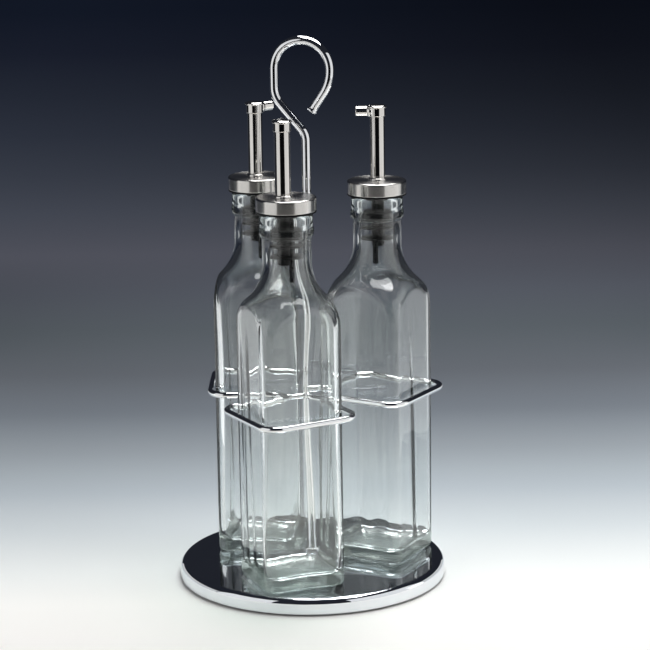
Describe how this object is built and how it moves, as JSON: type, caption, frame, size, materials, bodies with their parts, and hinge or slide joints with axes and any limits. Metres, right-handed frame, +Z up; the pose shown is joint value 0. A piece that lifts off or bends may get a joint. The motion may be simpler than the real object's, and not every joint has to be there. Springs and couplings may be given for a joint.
{
  "type": "cruet set",
  "caption": "Square glass oil and vinegar bottles with swivel steel pourers, standing in a bent wire ring on a round weighted chrome base with a loop-topped carrying rod.",
  "frame": {"origin": "on the table under the middle of the round base, which is where the carrying rod's axis meets the table", "axes": "+Z up along the carrying rod; -Y from the rod towards the front bottle; the handle loop lies in the XZ plane"},
  "size_m": [0.15, 0.1522, 0.306],
  "materials": {
    "chrome_wire": "polished chrome plate on round wire",
    "chrome_base": "mirror chrome plate on pressed sheet",
    "weight_iron": "raw casting, hidden inside the base",
    "pad_foam": "matt black foam rubber",
    "zinc_steel": "zinc plated",
    "clear_glass": "clear moulded glass with a faint green edge",
    "black_rubber": "smooth black",
    "black_plastic": "smooth black",
    "satin_steel": "satin turned stainless steel",
    "polished_steel": "polished stainless steel"
  },
  "bodies": {
    "stand": {"base_shell": "chrome_base", "base_weight": "weight_iron", "base_pad": "pad_foam", "handle_rod": "chrome_wire", "rod_collar": "chrome_wire", "rod_washer": "zinc_steel", "rod_nut": "zinc_steel", "bottle_ring": "chrome_wire", "ring_spokes": "chrome_wire"},
    "front_bottle_body": {"front_bottle": "clear_glass"},
    "front_pourer": {"front_plug": "black_rubber", "front_gasket": "black_rubber", "front_cap": "satin_steel", "front_spout_tube": "polished_steel", "front_vent_tube": "black_plastic"},
    "front_spout": {"front_spout_head": "polished_steel", "front_nozzle": "polished_steel", "front_head_seal": "black_rubber"},
    "right_bottle_body": {"right_bottle": "clear_glass"},
    "right_pourer": {"right_plug": "black_rubber", "right_gasket": "black_rubber", "right_cap": "satin_steel", "right_spout_tube": "polished_steel", "right_vent_tube": "black_plastic"},
    "right_spout": {"right_spout_head": "polished_steel", "right_nozzle": "polished_steel", "right_head_seal": "black_rubber"},
    "left_bottle_body": {"left_bottle": "clear_glass"},
    "left_pourer": {"left_plug": "black_rubber", "left_gasket": "black_rubber", "left_cap": "satin_steel", "left_spout_tube": "polished_steel", "left_vent_tube": "black_plastic"},
    "left_spout": {"left_spout_head": "polished_steel", "left_nozzle": "polished_steel", "left_head_seal": "black_rubber"}
  },
  "joints": [
    {"name": "front_bottle_lift", "type": "slide", "parent": "stand", "child": "front_bottle_body", "axis": [0, 0, 1], "range_m": [0, 0.1]},
    {"name": "front_pourer_pull", "type": "slide", "parent": "front_bottle_body", "child": "front_pourer", "axis": [0, 0, 1], "range_m": [0, 0.045]},
    {"name": "front_spout_swivel", "type": "hinge", "parent": "front_pourer", "child": "front_spout", "pos_m": [-0.00144, -0.04041, 0.26], "axis": [0, 0, 1], "continuous": true},
    {"name": "right_bottle_lift", "type": "slide", "parent": "stand", "child": "right_bottle_body", "axis": [0, 0, 1], "range_m": [0, 0.1]},
    {"name": "right_pourer_pull", "type": "slide", "parent": "right_bottle_body", "child": "right_pourer", "axis": [0, 0, 1], "range_m": [0, 0.045]},
    {"name": "right_spout_swivel", "type": "hinge", "parent": "right_pourer", "child": "right_spout", "pos_m": [0.03482, 0.02149, 0.26], "axis": [0, 0, 1], "continuous": true},
    {"name": "left_bottle_lift", "type": "slide", "parent": "stand", "child": "left_bottle_body", "axis": [0, 0, 1], "range_m": [0, 0.1]},
    {"name": "left_pourer_pull", "type": "slide", "parent": "left_bottle_body", "child": "left_pourer", "axis": [0, 0, 1], "range_m": [0, 0.045]},
    {"name": "left_spout_swivel", "type": "hinge", "parent": "left_pourer", "child": "left_spout", "pos_m": [-0.03576, 0.021, 0.26], "axis": [0, 0, 1], "continuous": true}
  ]
}
